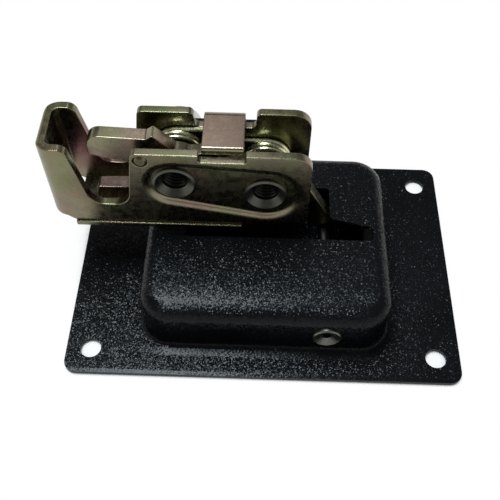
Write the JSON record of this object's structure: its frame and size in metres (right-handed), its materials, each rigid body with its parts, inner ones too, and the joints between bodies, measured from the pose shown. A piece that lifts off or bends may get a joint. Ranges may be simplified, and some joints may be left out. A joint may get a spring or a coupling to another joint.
{
  "type": "utility vehicle door latch",
  "caption": "Flush paddle handle with a rotary slam latch on its back, for the door of a utility vehicle",
  "frame": {"origin": "Centre of the four bolt holes, on the front face of the flange", "axes": "X along the long side of the flange, towards the hinge pin. Y along its short side, from the open side of the latch towards its mounting wall. Z through the door, from the outside to the inside"},
  "size_m": [0.1329, 0.0888, 0.055],
  "materials": {
    "black_powder_coat": "fine wrinkle powder coat, satin",
    "yellow_zinc": "zinc plate with a yellow passivate",
    "bright_zinc": "bright zinc plate",
    "spring_wire": "drawn spring wire",
    "nylon": "moulded nylon"
  },
  "bodies": {
    "frame": {"pan": "black_powder_coat", "hinge_pin": "bright_zinc", "hinge_washers": "nylon", "paddle_spring": "spring_wire", "latch_body": "yellow_zinc", "base_plate": "yellow_zinc", "guide_stud": "yellow_zinc", "rotor_bushing": "yellow_zinc", "rotor_spacer": "yellow_zinc", "rotor_spring": "spring_wire", "pawl_bushing": "yellow_zinc", "pawl_spacer": "yellow_zinc", "pawl_spring": "spring_wire", "mounting_screws": "bright_zinc", "lock_washers": "bright_zinc"},
    "handle": {"paddle": "black_powder_coat", "trip_bracket": "black_powder_coat", "trip_rivets": "bright_zinc"},
    "pawl_body": {"pawl": "yellow_zinc"},
    "rotor_body": {"rotor": "yellow_zinc"}
  },
  "joints": [
    {"name": "handle_pull", "type": "hinge", "parent": "frame", "child": "handle", "pos_m": [0.0199, 0, 0.01], "axis": [0, -1, 0], "range_deg": [0, 40], "stiffness_Nm_per_rad": 0.25, "springref_deg": -20.05, "deforming": ["paddle_spring"]},
    {"name": "pawl_pivot", "type": "hinge", "parent": "frame", "child": "pawl_body", "pos_m": [-0.0007, 0.00935, 0.0368], "axis": [0, 1, 0], "range_deg": [0, 16], "deforming": ["pawl_spring"]},
    {"name": "rotor_pivot", "type": "hinge", "parent": "frame", "child": "rotor_body", "pos_m": [-0.0288, 0.00935, 0.041], "axis": [0, 1, 0], "range_deg": [0, 54], "deforming": ["rotor_spring"]}
  ],
  "couplings": [
    {"joint": "pawl_pivot", "follows": "handle_pull", "ratio": 0.4},
    {"joint": "rotor_pivot", "follows": "handle_pull", "ratio": 1.35}
  ]
}
